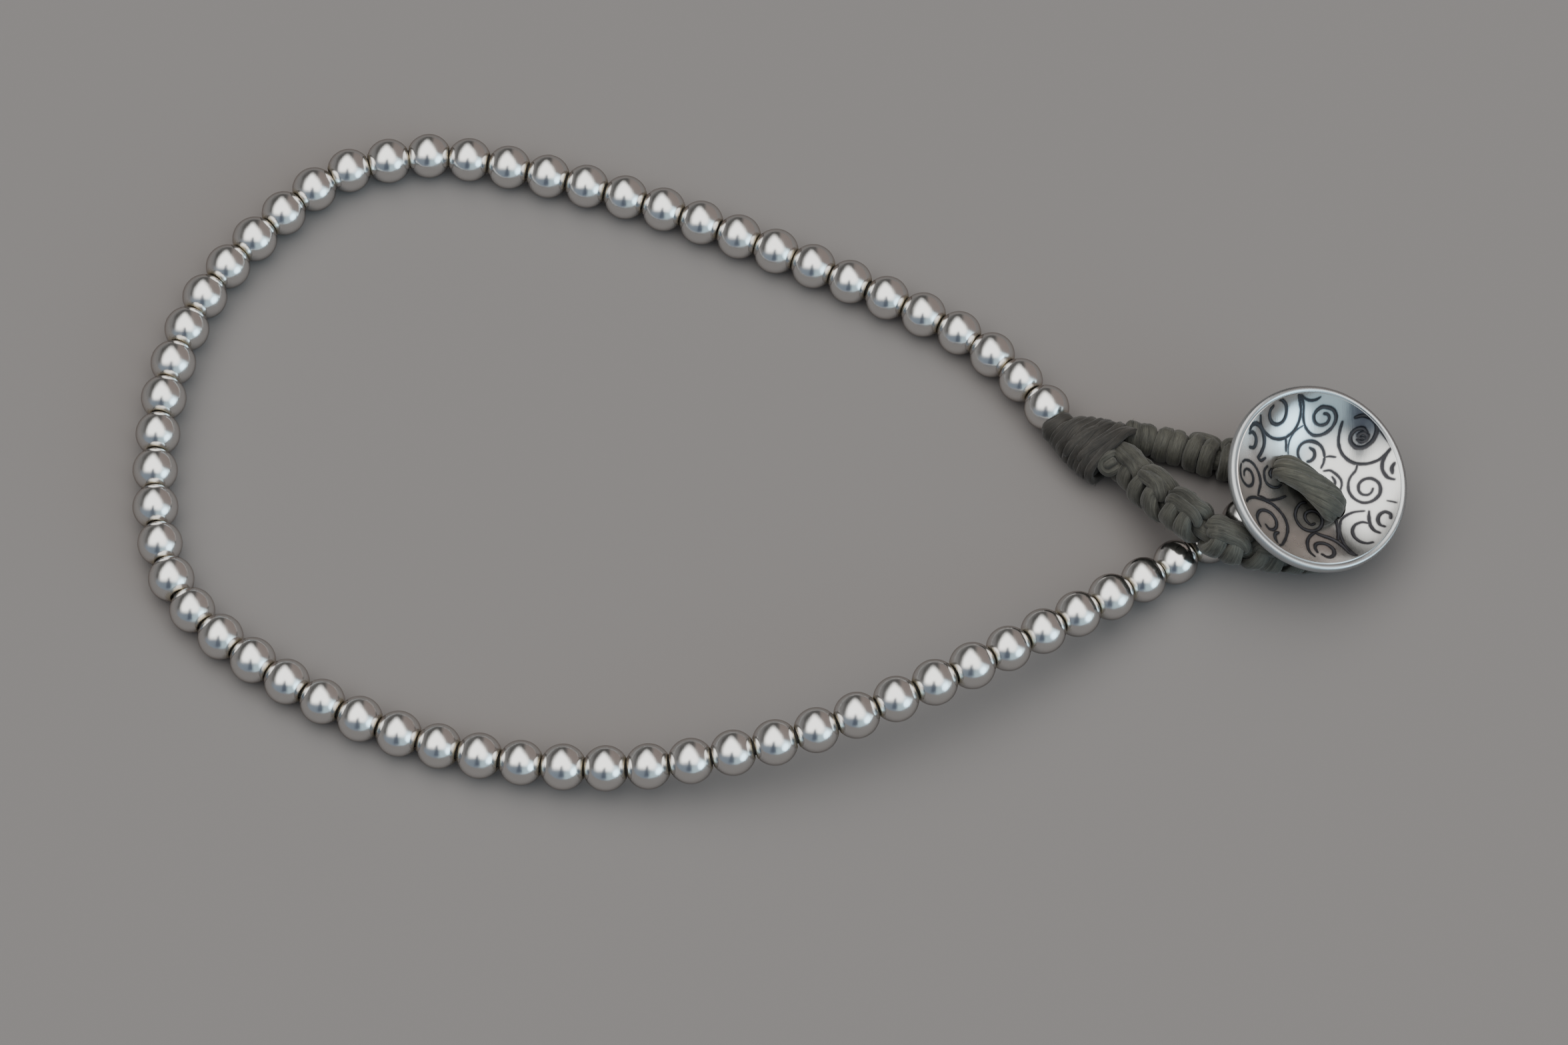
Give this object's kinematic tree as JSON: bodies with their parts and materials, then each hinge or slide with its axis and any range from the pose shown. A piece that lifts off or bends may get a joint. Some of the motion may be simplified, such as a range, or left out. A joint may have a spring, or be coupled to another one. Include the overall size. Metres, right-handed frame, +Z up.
{
  "type": "beaded bracelet",
  "caption": "String of small round silver beads closed by a knotted cord loop over a dished, scroll-engraved silver button; lies on a table.",
  "frame": {"origin": "middle of the bracelet's outline, on the table it lies on", "axes": "+X along the bracelet towards the button, +Y across it, +Z up from the table"},
  "size_m": [0.0822, 0.0493, 0.0085],
  "materials": {
    "silver_beads": "polished silver, seamless round beads",
    "oxidised_silver": "polished silver with dark oxidised scroll grooves",
    "dark_cord": "dark olive grey waxed thread, wrapped and knotted"
  },
  "bodies": {
    "root": {"bead_stretch_01": "silver_beads", "bead_stretch_02": "silver_beads", "bead_stretch_03": "silver_beads", "bead_stretch_04": "silver_beads", "bead_stretch_05": "silver_beads", "bead_stretch_06": "silver_beads", "bead_stretch_07": "silver_beads", "bead_stretch_08": "silver_beads", "bead_stretch_09": "silver_beads", "bead_stretch_10": "silver_beads", "bead_stretch_11": "silver_beads", "bead_stretch_12": "silver_beads", "bead_stretch_13": "silver_beads", "bead_stretch_14": "silver_beads", "bead_stretch_15": "silver_beads", "bead_stretch_16": "silver_beads", "bead_stretch_17": "silver_beads", "bead_stretch_18": "silver_beads", "bead_stretch_19": "silver_beads", "bead_stretch_20": "silver_beads", "bead_stretch_21": "silver_beads", "neck_whipping": "dark_cord", "cord_tail": "dark_cord", "button_loop": "dark_cord", "button": "oxidised_silver", "button_cord": "dark_cord"}
  },
  "joints": []
}
